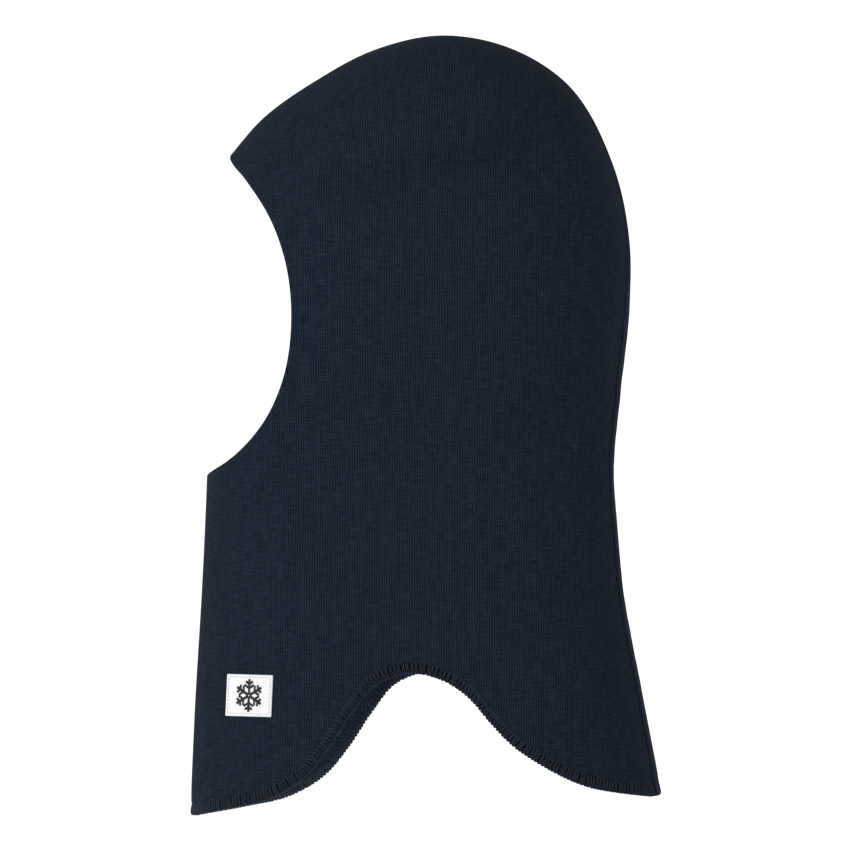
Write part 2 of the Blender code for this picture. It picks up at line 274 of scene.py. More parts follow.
patch = {
    "centre": (-0.0750, -0.1846),
    "width": 0.0250,
    "height": 0.0194,
    "tilt": math.radians(-1.2),
    "lean": 0.022,
    "thickness": 0.0007,
    "corner": 0.0004,
    "columns": 56,
    "rows": 44,
    "foldWidth": 0.0018,  # the edge is folded under, and stands a little higher
    "foldBlend": 0.0006,
    "foldRise": 0.00018,
    "edgeRound": 0.0004,  # the fold turns down over this width, by the drop
    "edgeDrop": 0.00030,
    "stitchInset": 0.0013,
    "stitchPitch": 0.0017,
    "stitchLength": 0.0011,
    "stitchRadius": 0.00016,
    "stitchDip": 0.00015,
    "stitchDipReach": 0.00035,
    # one stitch: the place along it, in lengths from its middle, and the height over the cloth
    "stitchProfile": ((-0.5, -0.00035), (-0.4, 0.00005), (-0.15, 0.00020), (0.15, 0.00020), (0.4, 0.00005),
                      (0.5, -0.00035)),
    "lift": 0.0002,
    "stiffens": (0.018, 0.034),  # it holds the cloth round it flat
}
slack = {
    "columns": 64,
    "rows": 76,
    "frames": 45,
    "growth": 0.012,  # the knit is a little larger than the form
    "most": 0.0010,
    "seamFade": 0.16,  # shares of the panel in which it comes free of its seams
    "edgeFade": 0.12,  # and of its hem and face edge
    "headLevel": 0.04,  # above this the head holds the cloth
    "headFade": 0.12,
    "headFreedom": 0.35,
    "cloth": {"quality": 5, "mass": 0.0004, "tension_stiffness": 8, "compression_stiffness": 8,
              "shear_stiffness": 3, "bending_stiffness": 0.4, "pin_stiffness": 1.0},
    "grid": {},
}
# soft creases on the wearer's left, from start to end in the side view; a depth under 0 is a ridge
creases = [
    {"start": (-0.030, 0.048), "end": (0.070, 0.078), "halfWidth": 0.0090, "depth": 0.0016},
    {"start": (-0.048, -0.052), "end": (0.000, -0.050), "halfWidth": 0.0040, "depth": 0.0006},
    {"start": (0.060, 0.080), "end": (0.084, 0.050), "halfWidth": 0.0060, "depth": -0.0010},
    {"start": (0.088, -0.150), "end": (0.094, -0.206), "halfWidth": 0.0050, "depth": 0.0010},
]
deepestCrease = max(crease["depth"] for crease in creases)
creaseFade = 3  # a crease fades over a third of its length about each end


def newObject(name, mesh):
    obj = bpy.data.objects.new(name, mesh)
    bpy.context.scene.collection.objects.link(obj)
    return obj


def gridSheet(name, points, uv=None, flip=False, shade=None):
    # a sheet of quads through points[row, column]; shade is painted shade: how much darker the cloth is
    # painted under stitching, along the seams, in folds and over the crown
    rows, columns = points.shape[0] - 1, points.shape[1] - 1
    bm = bmesh.new()
    bmesh.ops.create_grid(bm, x_segments=columns, y_segments=rows, size=0.5)
    order = [(round((v.co.y + 0.5) * rows), round((v.co.x + 0.5) * columns)) for v in bm.verts]
    for vert, (row, column) in zip(bm.verts, order):
        vert.co = points[row, column]
    if flip:
        bmesh.ops.reverse_faces(bm, faces=bm.faces)
    mesh = bpy.data.meshes.new(name)
    bm.to_mesh(mesh)
    bm.free()
    if uv is not None:
        layer = mesh.uv_layers.new(name="knit")
        corner = np.empty(len(mesh.loops), np.int32)
        mesh.loops.foreach_get("vertex_index", corner)
        index = np.array([row * (columns + 1) + column for row, column in order])
        layer.data.foreach_set("uv", uv.reshape(-1, 2)[index][corner].astype(np.float32).ravel())
        values = np.zeros(len(order)) if shade is None else shade.ravel()[index]
        paintedShade = mesh.attributes.new("paintedShade", "FLOAT", "POINT")
        paintedShade.data.foreach_set("value", values.astype(np.float32))
    mesh.shade_smooth()
    return newObject(name, mesh)


def freeness(place, across, up):
    # 0 where stitching, the head or the patch holds the cloth, 1 where it is free to sag
    s = slack
    seams = smoothStep(np.minimum(across, 1 - across) / s["seamFade"])
    edges = smoothStep(up / s["edgeFade"]) * smoothStep((1 - up) / s["edgeFade"])
    below = smoothStep((s["headLevel"] - place[..., 2]) / s["headFade"])
    low = s["headFreedom"] + (1 - s["headFreedom"]) * below
    held = distance(place, garmentPoint(*(np.array(v) for v in patch["centre"]), 1))
    near, far = patch["stiffens"]
    return seams * edges * low * smoothStep((held - near) / (far - near))


def settleCloth(side):
    # the panel sags from its seams and edges for a moment; how far it moves off the form is its slack
    across = np.linspace(0, 1, slack["columns"])[None, :]
    up = np.linspace(0, 1, slack["rows"])[:, None]
    start = basePoint(side, across, up)
    free = freeness(start, across, up)
    shell = gridSheet("settling", start)
    count = len(shell.data.vertices)
    place = np.empty(count * 3)
    shell.data.vertices.foreach_get("co", place)
    place = place.reshape(-1, 3)
    # the grid's vertices run row by row
    pins = shell.vertex_groups.new(name="held")
    for i, share in enumerate(1 - free.ravel()):
        pins.add([i], float(share), "REPLACE")
    cloth = shell.modifiers.new("cloth", "CLOTH")
    for setting, value in slack["cloth"].items():
        setattr(cloth.settings, setting, value)
    cloth.settings.shrink_min = -slack["growth"]
    cloth.settings.vertex_group_mass = "held"
    cloth.point_cache.frame_start = 1
    cloth.point_cache.frame_end = slack["frames"]
    scene = bpy.context.scene
    for frameNumber in range(1, slack["frames"] + 1):
        scene.frame_set(frameNumber)
    settled = shell.evaluated_get(bpy.context.evaluated_depsgraph_get()).to_mesh()
    ended = np.empty(count * 3)
    settled.vertices.foreach_get("co", ended)
    moved = (ended.reshape(-1, 3) - place).reshape(*free.shape, 3)
    scene.frame_set(1)
    bpy.data.objects.remove(shell)
    off = np.sum(moved * baseSlopes(side, across, up)[2], axis=-1) * smoothStep(free * 2)
    print("panel", side, "moved", round(float(np.abs(off).max()) * 1000, 2), "mm")
    return slack["most"] * np.tanh(off / slack["most"])


def creaseDepth(place):
    depth = np.zeros(place.shape[:-1])
    y, z = place[..., 1], place[..., 2]
    for crease in creases:
        (y0, z0), (y1, z1) = crease["start"], crease["end"]
        length = math.hypot(y1 - y0, z1 - z0)
        along = ((y - y0) * (y1 - y0) + (z - z0) * (z1 - z0)) / length ** 2
        off = ((y - y0) * (z1 - z0) - (z - z0) * (y1 - y0)) / length
        fade = smoothStep(along * creaseFade + 0.5) * smoothStep((1 - along) * creaseFade + 0.5)
        depth += crease["depth"] * fade * np.exp(-(off / crease["halfWidth"]) ** 2)
    return depth


def splineShares(t):
    # the shares of four neighbours in a smooth cubic reading between the middle two
    first, last = (1 - t) ** 3 / 6, t ** 3 / 6
    return first, (3 * t ** 3 - 6 * t ** 2 + 4) / 6, (-3 * t ** 3 + 3 * t ** 2 + 3 * t + 1) / 6, last


def slackAt(side, across, up):
    # read smoothly between the settled points
    if side not in slack["grid"]:
        return np.zeros(np.shape(across))
    grid = np.pad(slack["grid"][side], 2, mode="edge")
    rows, columns = slack["grid"][side].shape
    i, j = np.clip(up, 0, 1) * (rows - 1), np.clip(across, 0, 1) * (columns - 1)
    i0, j0 = np.minimum(i.astype(int), rows - 2), np.minimum(j.astype(int), columns - 2)
    total = 0
    for a, rowShare in enumerate(splineShares(i - i0)):
        for b, columnShare in enumerate(splineShares(j - j0)):
            total = total + rowShare * columnShare * grid[i0 + a + 1, j0 + b + 1]
    return total


def clothDepth(side, across, up):
    # how far the outer cloth's face lies under the smooth garment surface
    across, up = np.broadcast_arrays(np.asarray(across, float), np.asarray(up, float))
    place = basePoint(side, across, up)
    depth = np.zeros(across.shape)
    r = relief
    for seam in (0.0, 1.0):
        away = distance(place, basePoint(side, seam, up))
        depth += r["seamDip"] * np.exp(-(away / r["seamReach"]) ** r["seamPower"])
        # whole for two thirds of the allowance's width, and gone a third beyond it
        rise = smoothStep(2 - away / r["allowanceWidth"] * 1.5) * smoothStep(away / r["allowanceStart"])
        depth -= r["allowanceRise"] * rise
    fromHem = distance(place, basePoint(side, across, 0.0))
    depth += r["needleDip"] * np.exp(-((fromHem - hemStitch["width"]) / r["needleReach"]) ** 2)
    depth += r["hemPinch"] * np.exp(-(fromHem / r["hemPinchReach"]) ** 2)
    if side > 0:
        depth += creaseDepth(place)
    return depth - slackAt(side, across, up)


def clothPoint(side, across, up, depth=0.0):
    # a point this deep under the outer cloth's face
    normal = baseSlopes(side, across, up)[2]
    total = clothDepth(side, across, up) + depth
    return basePoint(side, across, up) - normal * np.asarray(total)[..., None]


def edgePoint(side, across, edge, inset, depth):
    # in from the hem or the face edge, or past it where the inset is negative
    across, inset, depth = np.broadcast_arrays(*(np.asarray(v, float) for v in (across, inset, depth)))
    away, reach = edgeDirection(side, across, edge)
    share = np.maximum(inset, 0) / reach
    up = 1 - share if edge == 1 else share
    return clothPoint(side, across, up, depth) - np.minimum(inset, 0)[..., None] * away


def knitUv(place, side):
    # lengths of cloth: round the garment from its middle line, and up from ear level
    x, y, z = place[..., 0].ravel(), place[..., 1].ravel(), place[..., 2].ravel()
    # the steps close up towards the outline
    t = 1 - (1 - np.linspace(0, 1, 40)) ** 2

    def run(ys, zs):
        xs = sideOffset(ys, zs)
        return np.sqrt(np.diff(xs) ** 2 + np.diff(ys) ** 2 + np.diff(zs) ** 2).sum(axis=1)

    across = run(y[:, None] * t, z[:, None] + 0 * t)
    edge = np.interp(z, backRise[:, 1], backRise[:, 0])
    whole = run(edge[:, None] * t, z[:, None] + 0 * t)
    across = np.where((x * side < 0) & (y > 0), 2 * whole - across, across) * np.sign(y)
    climb = np.where(z > 0, run(y[:, None] + 0 * t, np.maximum(z, 0)[:, None] * t), z)
    return np.stack([across, climb], axis=1)


# makers
def addWall(obj, thickness, offset=-1):
    wall = obj.modifiers.new("wall", "SOLIDIFY")
    wall.thickness = thickness
    wall.offset = offset
    wall.use_even_offset = False
    return obj


def threadCurve(name, runs, radius, closed=False, sides=1):
    curve = bpy.data.curves.new(name, "CURVE")
    curve.dimensions = "3D"
    curve.bevel_depth = radius
    curve.bevel_resolution = sides
    curve.use_fill_caps = not closed
    for points in runs:
        spline = curve.splines.new("POLY")
        spline.points.add(len(points) - 1)
        spline.points.foreach_set("co", np.c_[points, np.ones(len(points))].astype(np.float32).ravel())
        spline.use_cyclic_u = closed
        spline.use_smooth = True
    return newObject(name, curve)


def finishPiece(obj, material, replaced=()):
    obj.data.materials.clear()
    obj.data.materials.append(material)
    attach(obj, "root")
    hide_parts(*replaced)
    print("made", obj.name)
    return obj


# materials
clothLooks = {
    "specular": 0.03,
    "sheenRoughness": 0.6,
}


def newMaterial(name, colour, roughness, sheen=0.0, sheenTint=(1, 1, 1)):
    material = bpy.data.materials.new(name)
    material.use_nodes = True
    shader = material.node_tree.nodes["Principled BSDF"]
    shader.inputs["Base Color"].default_value = (*colour, 1)
    shader.inputs["Roughness"].default_value = roughness
    shader.inputs["Specular IOR Level"].default_value = clothLooks["specular"]
    shader.inputs["Sheen Weight"].default_value = sheen
    shader.inputs["Sheen Roughness"].default_value = clothLooks["sheenRoughness"]
    shader.inputs["Sheen Tint"].default_value = (*sheenTint, 1)
    return material, material.node_tree, shader


def addNode(tree, kind, inputs=None, **settings):
    node = tree.nodes.new(kind)
    for key, value in settings.items():
        setattr(node, key, value)
    for key, value in (inputs or {}).items():
        if isinstance(value, bpy.types.NodeSocket):
            tree.links.new(value, node.inputs[key])
        else:
            node.inputs[key].default_value = value
    return node


def maths(tree, operation, *values):
    node = tree.nodes.new("ShaderNodeMath")
    node.operation = operation
    for i, value in enumerate(values):
        if isinstance(value, bpy.types.NodeSocket):
            tree.links.new(value, node.inputs[i])
        else:
            node.inputs[i].default_value = value
    return node.outputs[0]


def mixColours(tree, share, first, second):
    node = tree.nodes.new("ShaderNodeMix")
    node.data_type = "RGBA"
    for socket, value in ((node.inputs[0], share), (node.inputs[6], first), (node.inputs[7], second)):
        if isinstance(value, bpy.types.NodeSocket):
            tree.links.new(value, socket)
        else:
            socket.default_value = value if socket == node.inputs[0] else (*value, 1)
    return node.outputs[2]


def noiseValue(tree, vector, scale, detail):
    noise = addNode(tree, "ShaderNodeTexNoise", {"Vector": vector, "Scale": scale, "Detail": detail})
    return noise.outputs["Fac"]


def rampValue(tree, value, start, end):
    # 0 at the start of the ramp, 1 at its end
    ramp = addNode(tree, "ShaderNodeMapRange", {"Value": value, "From Min": start, "From Max": end})
    return ramp.outputs["Result"]


def joinAxes(tree, first, second):
    return addNode(tree, "ShaderNodeCombineXYZ", {0: first, 1: second}).outputs[0]


def addRelief(tree, shader, height, strength, depth):
    bump = addNode(tree, "ShaderNodeBump", {"Height": height, "Strength": strength, "Distance": depth})
    tree.links.new(bump.outputs[0], shader.inputs["Normal"])


knit = {
    "wale": 0.00116,  # a column of stitches is this wide
    "course": 0.00100,  # and a row this high
    "colour": (0.0146, 0.0232, 0.0408),
    # painted shade: the dark colour of the grooves between the wales
    "paintedGrooveShade": (0.0010, 0.0026, 0.0066),
    "fibre": (0.0200, 0.0290, 0.0440),
    "roughness": 0.9,
    "sheen": 0.009,
    "sheenTint": (0.62, 0.74, 1.0),
    "depth": 0.00030,
    "relief": 0.8,
    "wanderScale": 90.0,
    "wander": 0.9,  # how far the columns stray, in their own widths
    "loopHeight": 0.18,
    "ridgePower": 0.7,
    "groovePower": 1.1,
    "streakLength": 0.22,  # rows to a streak are one over this
    "streakHeight": 0.45,
    "fuzzScale": 2600.0,
    "fuzzHeight": 0.5,
    "blotchLength": 0.12,
    "blotchScale": 0.35,
    "fibreShare": 0.9,
    "paintedShadeShare": 0.8,
    "paintedShadeTone": 0.15,
    "rowScale": 1900.0,
    "rowStretch": 0.07,
    "paintedRowShare": 0.36,
    "sunkRows": (0.62, 0.38),
    "raisedRows": (0.52, 0.72),
}


def knitMaterial(name, tone=1.0):
    # rib knit: each wale is a column of small Vs, on the cloth's own lengths
    low, high, fibre = (tuple(tone * c for c in knit[k]) for k in ("paintedGrooveShade", "colour", "fibre"))
    material, tree, shader = newMaterial(name, high, knit["roughness"], knit["sheen"], knit["sheenTint"])
    uv = addNode(tree, "ShaderNodeUVMap", uv_map="knit").outputs[0]
    parts = addNode(tree, "ShaderNodeSeparateXYZ", {"Vector": uv})
    wander = noiseValue(tree, uv, knit["wanderScale"], 2.0)
    wales = maths(tree, "MULTIPLY_ADD", parts.outputs[0], 1 / knit["wale"], 0.0)
    wales = maths(tree, "ADD", wales, maths(tree, "MULTIPLY", wander, knit["wander"]))
    courses = maths(tree, "DIVIDE", parts.outputs[1], knit["course"])
    ridge = maths(tree, "ABSOLUTE", maths(tree, "SINE", maths(tree, "MULTIPLY", wales, math.pi)))
    slant = maths(tree, "ABSOLUTE", maths(tree, "SUBTRACT", maths(tree, "FRACT", wales), 0.5))
    loop = maths(tree, "SINE", maths(tree, "MULTIPLY", maths(tree, "ADD", courses, slant), 2 * math.pi))
    column = maths(tree, "FLOOR", wales)
    streakRow = maths(tree, "FLOOR", maths(tree, "MULTIPLY", courses, knit["streakLength"]))
    streakCell = joinAxes(tree, column, streakRow)
    streak = addNode(tree, "ShaderNodeTexWhiteNoise", {"Vector": streakCell}).outputs["Value"]
    fuzz = noiseValue(tree, uv, knit["fuzzScale"], 3.0)
    blotchCell = joinAxes(tree, column, maths(tree, "MULTIPLY", courses, knit["blotchLength"]))
    blotch = noiseValue(tree, blotchCell, knit["blotchScale"], 2.0)
    height = maths(tree, "POWER", ridge, knit["ridgePower"])
    height = maths(tree, "MULTIPLY_ADD", loop, knit["loopHeight"], height)
    height = maths(tree, "MULTIPLY_ADD", streak, knit["streakHeight"], height)
    height = maths(tree, "MULTIPLY_ADD", fuzz, knit["fuzzHeight"], height)
    # painted shade: the grooves between the wales take the dark groove colour, the ridges the knit's own
    # colour
    base = mixColours(tree, maths(tree, "POWER", ridge, knit["groovePower"]), low, high)
    # single rows are painted darker or lighter than their neighbours for a few stitches: painted shade where
    # a row sits deeper, painted highlight where it stands higher
    stretched = maths(tree, "MULTIPLY", parts.outputs[0], knit["rowStretch"])
    rows = noiseValue(tree, joinAxes(tree, stretched, parts.outputs[1]), knit["rowScale"], 1.0)
    sunk = rampValue(tree, rows, *knit["sunkRows"])
    base = mixColours(tree, maths(tree, "MULTIPLY", sunk, knit["paintedRowShare"]), base, low)
    raised = rampValue(tree, rows, *knit["raisedRows"])
    base = mixColours(tree, maths(tree, "MULTIPLY", raised, knit["paintedRowShare"]), base, fibre)
    lit = maths(tree, "MULTIPLY", maths(tree, "MULTIPLY", streak, fuzz), blotch)
    base = mixColours(tree, maths(tree, "MULTIPLY", lit, knit["fibreShare"]), base, fibre)
    # painted shade: the cloth is mixed towards a dark tone by the per-point shade attribute, under
    # stitching, along seams, in folds and over the crown
    paintedShade = addNode(tree, "ShaderNodeAttribute", attribute_name="paintedShade").outputs["Fac"]
    dark = tuple(knit["paintedShadeTone"] * c for c in low)
    base = mixColours(tree, maths(tree, "MULTIPLY", paintedShade, knit["paintedShadeShare"]), base, dark)
    tree.links.new(base, shader.inputs["Base Color"])
    addRelief(tree, shader, height, knit["relief"], knit["depth"])
    return material


thread = {
    "roughness": 0.7,
    "sheen": 0.02,
    "sheenTint": (0.75, 0.83, 1.0),
    "strandRoughness": 0.6,
    "relief": 0.7,
    "depth": 0.0002,
}


def threadMaterial(name, colour, lit, twist=0.0007):
    # spun thread: fine strands and a little fuzz
    t = thread
    material, tree, shader = newMaterial(name, colour, t["roughness"], t["sheen"], t["sheenTint"])
    place = addNode(tree, "ShaderNodeTexCoord").outputs["Object"]
    strand = {"Vector": place, "Scale": 1 / twist, "Detail": 3.0, "Roughness": t["strandRoughness"]}
    strands = addNode(tree, "ShaderNodeTexNoise", strand).outputs["Fac"]
    # the raised parts of the strand noise take the lit colour, the hollows the base colour: partly the
    # strands' own tone, partly painted highlight on the strands and painted shade between them
    tree.links.new(mixColours(tree, strands, colour, lit), shader.inputs["Base Color"])
    addRelief(tree, shader, strands, t["relief"], t["depth"])
    return material


woven = {
    "roughness": 0.65,
    "sheen": 0.1,
    "relief": 0.5,
    "depth": 0.0001,
}


def wovenMaterial(name, colour, shade, pitch):
    # plain woven label cloth
    material, tree, shader = newMaterial(name, colour, woven["roughness"], woven["sheen"])
    uv = addNode(tree, "ShaderNodeUVMap", uv_map="knit").outputs[0]
    parts = addNode(tree, "ShaderNodeSeparateXYZ", {"Vector": uv})
    warp = maths(tree, "SINE", maths(tree, "MULTIPLY", parts.outputs[0], 2 * math.pi / pitch))
    weft = maths(tree, "SINE", maths(tree, "MULTIPLY", parts.outputs[1], 2 * math.pi / pitch))
    weave = maths(tree, "MULTIPLY_ADD", maths(tree, "MULTIPLY", warp, weft), 0.5, 0.5)
    tree.links.new(mixColours(tree, weave, shade, colour), shader.inputs["Base Color"])
    addRelief(tree, shader, weave, woven["relief"], woven["depth"])
    return material


for side in (1, -1):
    slack["grid"][side] = settleCloth(side)
print("cloth settled")

outerKnit = knitMaterial("navyRibKnit")
# painted light: the lining's navy knit is coloured 2.9 times lighter than the outer's to offset the shade
# inside the garment
liningKnit = knitMaterial("navyLiningKnit", 2.9)
overlockThread = threadMaterial("overlockThread", (0.0050, 0.0090, 0.0180), (0.0410, 0.0510, 0.0720))
# painted light: the inner looper thread is coloured much lighter than the outer one to offset the shade it
# lies in inside the hem
innerLooperThread = threadMaterial("innerLooperThread", (0.0360, 0.0500, 0.0760), (0.1050, 0.1270, 0.1680))
seamThread = threadMaterial("seamThread", (0.0010, 0.0018, 0.0040), (0.0040, 0.0060, 0.0110))
patchCloth = wovenMaterial("patchCloth", (0.82, 0.82, 0.82), (0.68, 0.68, 0.69), 0.0005)
patchThread = threadMaterial("patchThread", (0.36, 0.37, 0.39), (0.55, 0.56, 0.58), 0.0004)
charcoalThread = threadMaterial("charcoalThread", (0.020, 0.021, 0.023), (0.050, 0.052, 0.055), 0.0004)
tapeCloth = wovenMaterial("labelTape", (0.78, 0.78, 0.77), (0.66, 0.66, 0.66), 0.0004)
print("materials ready")


# the two outer panels
outerPanel = {
    "columns": 150,
    "hemRows": 14,
    "bodyRows": 170,
    "hemBand": 0.0085,
    "rollRadius": 0.0016,
    "rollSteps": 10,
    "rollAngle": math.radians(172),
    "turnedIn": 0.0035,
    "endPack": 0.45,  # closes the columns up towards the seams
    "hemShadeEnd": 0.0006,  # past the needle line
    "hemShadeFade": 0.0010,
    "seamShade": 0.75,
    "seamShadeReach": 0.0011,
    "foldShade": 0.16,
    "crownShade": 0.13,
    "crownFrom": 0.060,
    "crownFade": 0.02,
    "crownWidth": 0.012,  # it fades over this width, and is gone so many widths from the seam
    "crownGone": 2.2,
    "flat": (0.275, 0.405),
    "flatArea": {1: 0.0782, -1: 0.0856},
}


def panelColumns(p):
    share = np.linspace(0, 1, p["columns"] + 1)
    return share - p["endPack"] * np.sin(2 * math.pi * share) / (2 * math.pi)


def panelRows(p, side, across, high):
    # rows up a panel, close in its hem band and then even; with them, the panel's reach at the hem
    reach = edgeDirection(side, across, 0)[1]
    low, hemTop = hemStitch["inset"] / reach, p["hemBand"] / reach
    hemRows = [low + (hemTop - low) * i / p["hemRows"] for i in range(p["hemRows"])]
    bodyRows = [hemTop + (high - hemTop) * i / p["bodyRows"] for i in range(p["bodyRows"] + 1)]
    return np.array(hemRows + bodyRows), reach


def outerShade(side, across, up):
    # painted shade: the cloth is painted darker under the overlock and along the seams, where shade falls
    # between the stitches and into the seams' dips
    p = outerPanel
    place = basePoint(side, across, up)
    fromHem = distance(place, basePoint(side, across, 0.0))
    fromSeam = np.minimum(*(distance(place, basePoint(side, seam, up)) for seam in (0.0, 1.0)))
    hem = smoothStep((hemStitch["width"] + p["hemShadeEnd"] - fromHem) / p["hemShadeFade"])
    shade = np.maximum(hem, p["seamShade"] * np.exp(-(fromSeam / p["seamShadeReach"]) ** 2))
    if side > 0:
        # painted shade along the folds, and over the crown where less light reaches it
        folds = np.clip(creaseDepth(place), 0, None) / deepestCrease * p["foldShade"]
        crown = p["crownShade"] * smoothStep((place[..., 2] - p["crownFrom"]) / p["crownFade"])
        crown = crown * smoothStep(p["crownGone"] - fromSeam / p["crownWidth"])
        shade = np.maximum(shade, np.maximum(folds, crown))
    return shade


def outerSheet(name, side):
    p = outerPanel
    across = panelColumns(p)
    rollStart = upAt(side, across, 1, p["rollRadius"])
    up = panelRows(p, side, across, rollStart)[0]
    sheet = clothPoint(side, across[None, :], up)
    # the face edge rolls in and turns back under
    normal = baseSlopes(side, across, rollStart)[2]
    away = edgeDirection(side, across, 1)[0]
    start = sheet[-1] - p["rollRadius"] * normal
    rolled = []
    for i in range(1, p["rollSteps"] + 1):
        turn = p["rollAngle"] * i / p["rollSteps"]
        rolled.append(start + p["rollRadius"] * (math.cos(turn) * normal + math.sin(turn) * away))
    for i in (1, 2):
        rolled.append(rolled[-1] - away * p["turnedIn"] / 2)
    shade = outerShade(side, across[None, :], up)
    shade = np.concatenate([shade, np.zeros((len(rolled), shade.shape[1]))])
    uv = knitUv(basePoint(side, across[None, :], up), side).reshape(*up.shape, 2)
    sheet = np.concatenate([sheet, np.array(rolled)])
    step = np.linalg.norm(np.diff(sheet[len(up) - 1:], axis=0), axis=-1)
    extra = uv[-1][None] + np.stack([0 * step, np.cumsum(step, axis=0)], axis=-1)
    uv = np.concatenate([uv, extra])
    return addWall(gridSheet(name, sheet, uv, flip=side < 0, shade=shade), layers["outer"])


for sideName, side in (("left", 1), ("right", -1)):
    panel = outerSheet(f"outer_{sideName}_knit", side)
    finishPiece(panel, outerKnit, [f"outer_{sideName}_panel"])

# the lining: two more panels, against the inside of the outer ones
liningPanel = {
    "columns": 104,
    "hemRows": 10,
    "bodyRows": 120,
    "hemBand": 0.010,
    "endPack": 0.3,
    "topInset": 0.0077,
    "turnRows": 4,
    "turnOut": 0.0008,  # its top edge turns out into the face seam
    "flat": (0.265, 0.395),
    "flatArea": {1: 0.0722, -1: 0.0794},
}


def liningDepth(inset):
    fade = smoothStep(inset / layers["hemGapFade"])
    return layers["outer"] + layers["hemGap"] + (layers["gap"] - layers["hemGap"]) * fade


def liningSheet(name, side):
    p = liningPanel
    across = panelColumns(p)
    up, reach = panelRows(p, side, across, upAt(side, across, 1, p["topInset"]))
    depth = liningDepth(up * reach - hemStitch["inset"])
    turning = np.clip((np.arange(len(up)) - (len(up) - 1 - p["turnRows"])) / p["turnRows"], 0, 1)
    depth = depth - p["turnOut"] * turning[:, None] ** 2
    sheet = clothPoint(side, across[None, :], up, depth)
    uv = knitUv(basePoint(side, across[None, :], up), side).reshape(*up.shape, 2)
    return addWall(gridSheet(name, sheet, uv, flip=side < 0), layers["lining"])


for sideName, side in (("left", 1), ("right", -1)):
    lining = liningSheet(f"lining_{sideName}_knit", side)
    finishPiece(lining, liningKnit, [f"lining_{sideName}_panel"])

# the hem's overlock: two looper threads over the two faces, and a needle thread along the inner line
stitchSamples = 1500  # points that a stitched edge is measured by


def aroundHem():
    # for each side's panel, the places along its hem with a stitch to every pitch of cloth
    fine = np.linspace(0, 1, stitchSamples)
    runs = []
    for side in (1, -1):
        length = runLengths(basePoint(side, fine, 0.0))
        count = round(length[-1] / hemStitch["pitch"])
        stops = (np.arange(count) + 0.5) / count * length[-1]
        runs.append((side, np.interp(stops, length, fine)))
    return runs


def squareToHem(side, across, inset):
    # the place along the hem that a point this far in stands square to
    right, rise = baseSlopes(side, across, 0.0)[:2]
    slide = np.sum(rise * right, axis=-1) / np.sum(right * right, axis=-1)
    return np.clip(across - inset / edgeDirection(side, across, 0)[1] * slide, 0, 1)


def overlockRun(side, across, face):
    # one looper thread over one face: out to the edge and back at every stitch
    h = hemStitch
    inner = layers["outer"] + layers["hemGap"] + layers["lining"]
    lift = h["threadRadius"] * h["lift"]
    outward = face == "outer"
    depth = -lift if outward else inner + lift
    turnDepth = inner * (0.25 if outward else 0.75)
    tuckDepth = depth * h["tuck"] + (0 if outward else inner * (1 - h["tuck"]))
    bendDepth = depth + (turnDepth - depth) * h["bend"]
    edgeInset = h["inset"] - lift
    # from the needle line to the edge: place along the stitch in pitches, inset, depth
    wayOut = [(0.10, h["width"], tuckDepth), (0.12, h["width"] - 0.0006, depth),
              (0.18, h["width"] * 0.6, depth), (0.24, h["inset"] + 0.0009, depth),
              (0.25, edgeInset + 0.0002, bendDepth), (0.22, edgeInset - 0.0001, turnDepth)]
    profile = np.array([(-place, inset, deep) for place, inset, deep in wayOut] + wayOut[::-1])
    each = (len(across), 1)
    shift = profile[:, 0] + dice.normal(0, h["wobble"], each)
    places = across[:, None] + shift * np.gradient(across)[:, None]
    inset = profile[:, 1] + 0 * places
    # the ends of the Vs stand unevenly at the needle line
    inset[:, :2] += dice.normal(h["overshoot"], h["unevenness"], each)
    inset[:, -2:] += dice.normal(h["overshoot"], h["unevenness"], each)
    places = squareToHem(side, np.clip(places, 0, 1), inset)
    return edgePoint(side, places, 0, inset, profile[:, 2]).reshape(-1, 3)


def hemLoopers():
    outerRun, innerRun = [], []
    for side, across in aroundHem():
        order = slice(None) if side > 0 else slice(None, None, -1)
        outerRun.append(overlockRun(side, across, "outer")[order])
        innerRun.append(overlockRun(side, across, "inner")[order])
    return [threadCurve(f"hem_{name}_looper", [np.concatenate(run)], hemStitch["threadRadius"], closed=True)
            for name, run in (("upper", outerRun), ("lower", innerRun))]


def hemNeedle():
    # short stitches that dip into the cloth at each needle hole
    h = hemStitch
    profile = np.array(h["needleProfile"])
    inset = h["width"] + h["needleRadius"]
    runs = []
    for side, across in aroundHem():
        places = np.clip(across[:, None] + profile[:, 0] * np.gradient(across)[:, None], 0, 1)
        run = edgePoint(side, places, 0, inset, profile[:, 1]).reshape(-1, 3)
        runs.append(run if side > 0 else run[::-1])
    return threadCurve("hem_needle_thread_stitches", [np.concatenate(runs)], h["needleRadius"], closed=True)


for looper, yarn in zip(hemLoopers(), (overlockThread, innerLooperThread)):
    finishPiece(looper, yarn, ["hem_looper_thread"])
finishPiece(hemNeedle(), seamThread, ["hem_needle_thread"])

# seams: running stitches down the back and the chin, through the outer panels and through the lining
seamStitch = {
    "pitch": 0.0026,
    "radius": 0.00022,
    "endInset": 0.0095,
    "samples": 900,
    "bite": 0.2,  # share of the outer cloth over the thread
    "backDepth": 0.0003,  # how far the thread stands off the cloth's back
    "liningDepth": 0.0001,
}


def seamPoint(seam, up, depth=0.0):
    # between the two panels that meet at the seam
    return (clothPoint(1, seam, up, depth) + clothPoint(-1, seam, up, depth)) / 2


